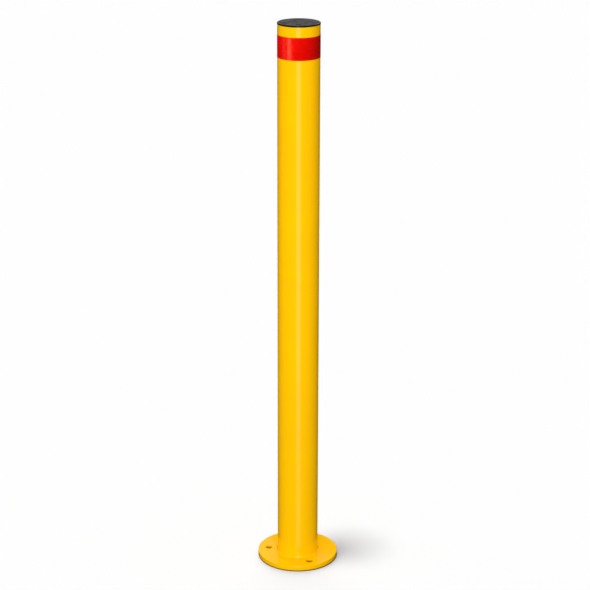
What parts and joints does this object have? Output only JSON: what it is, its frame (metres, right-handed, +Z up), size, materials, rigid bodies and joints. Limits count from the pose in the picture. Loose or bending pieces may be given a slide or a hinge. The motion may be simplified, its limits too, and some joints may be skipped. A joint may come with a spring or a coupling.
{
  "type": "surface-mounted bollard",
  "caption": "Round steel safety post welded to a drilled floor plate, closed by a moulded end cap and marked by a reflective band.",
  "frame": {"origin": "centre of the floor plate's underside, where the part meets the floor", "axes": "+Z up along the post's axis; one anchor hole lies on -X, the others 120 degrees from it; the band's lap faces +Y, away from the pictured side"},
  "size_m": [0.176, 0.176, 1.2035],
  "materials": {
    "yellow_coat": "satin",
    "black_plastic": "satin",
    "red_reflective": "gloss"
  },
  "bodies": {
    "root": {"base_plate": "yellow_coat", "post_tube": "yellow_coat", "weld_bead": "yellow_coat", "end_cap": "black_plastic", "reflective_tape": "red_reflective"}
  },
  "joints": []
}
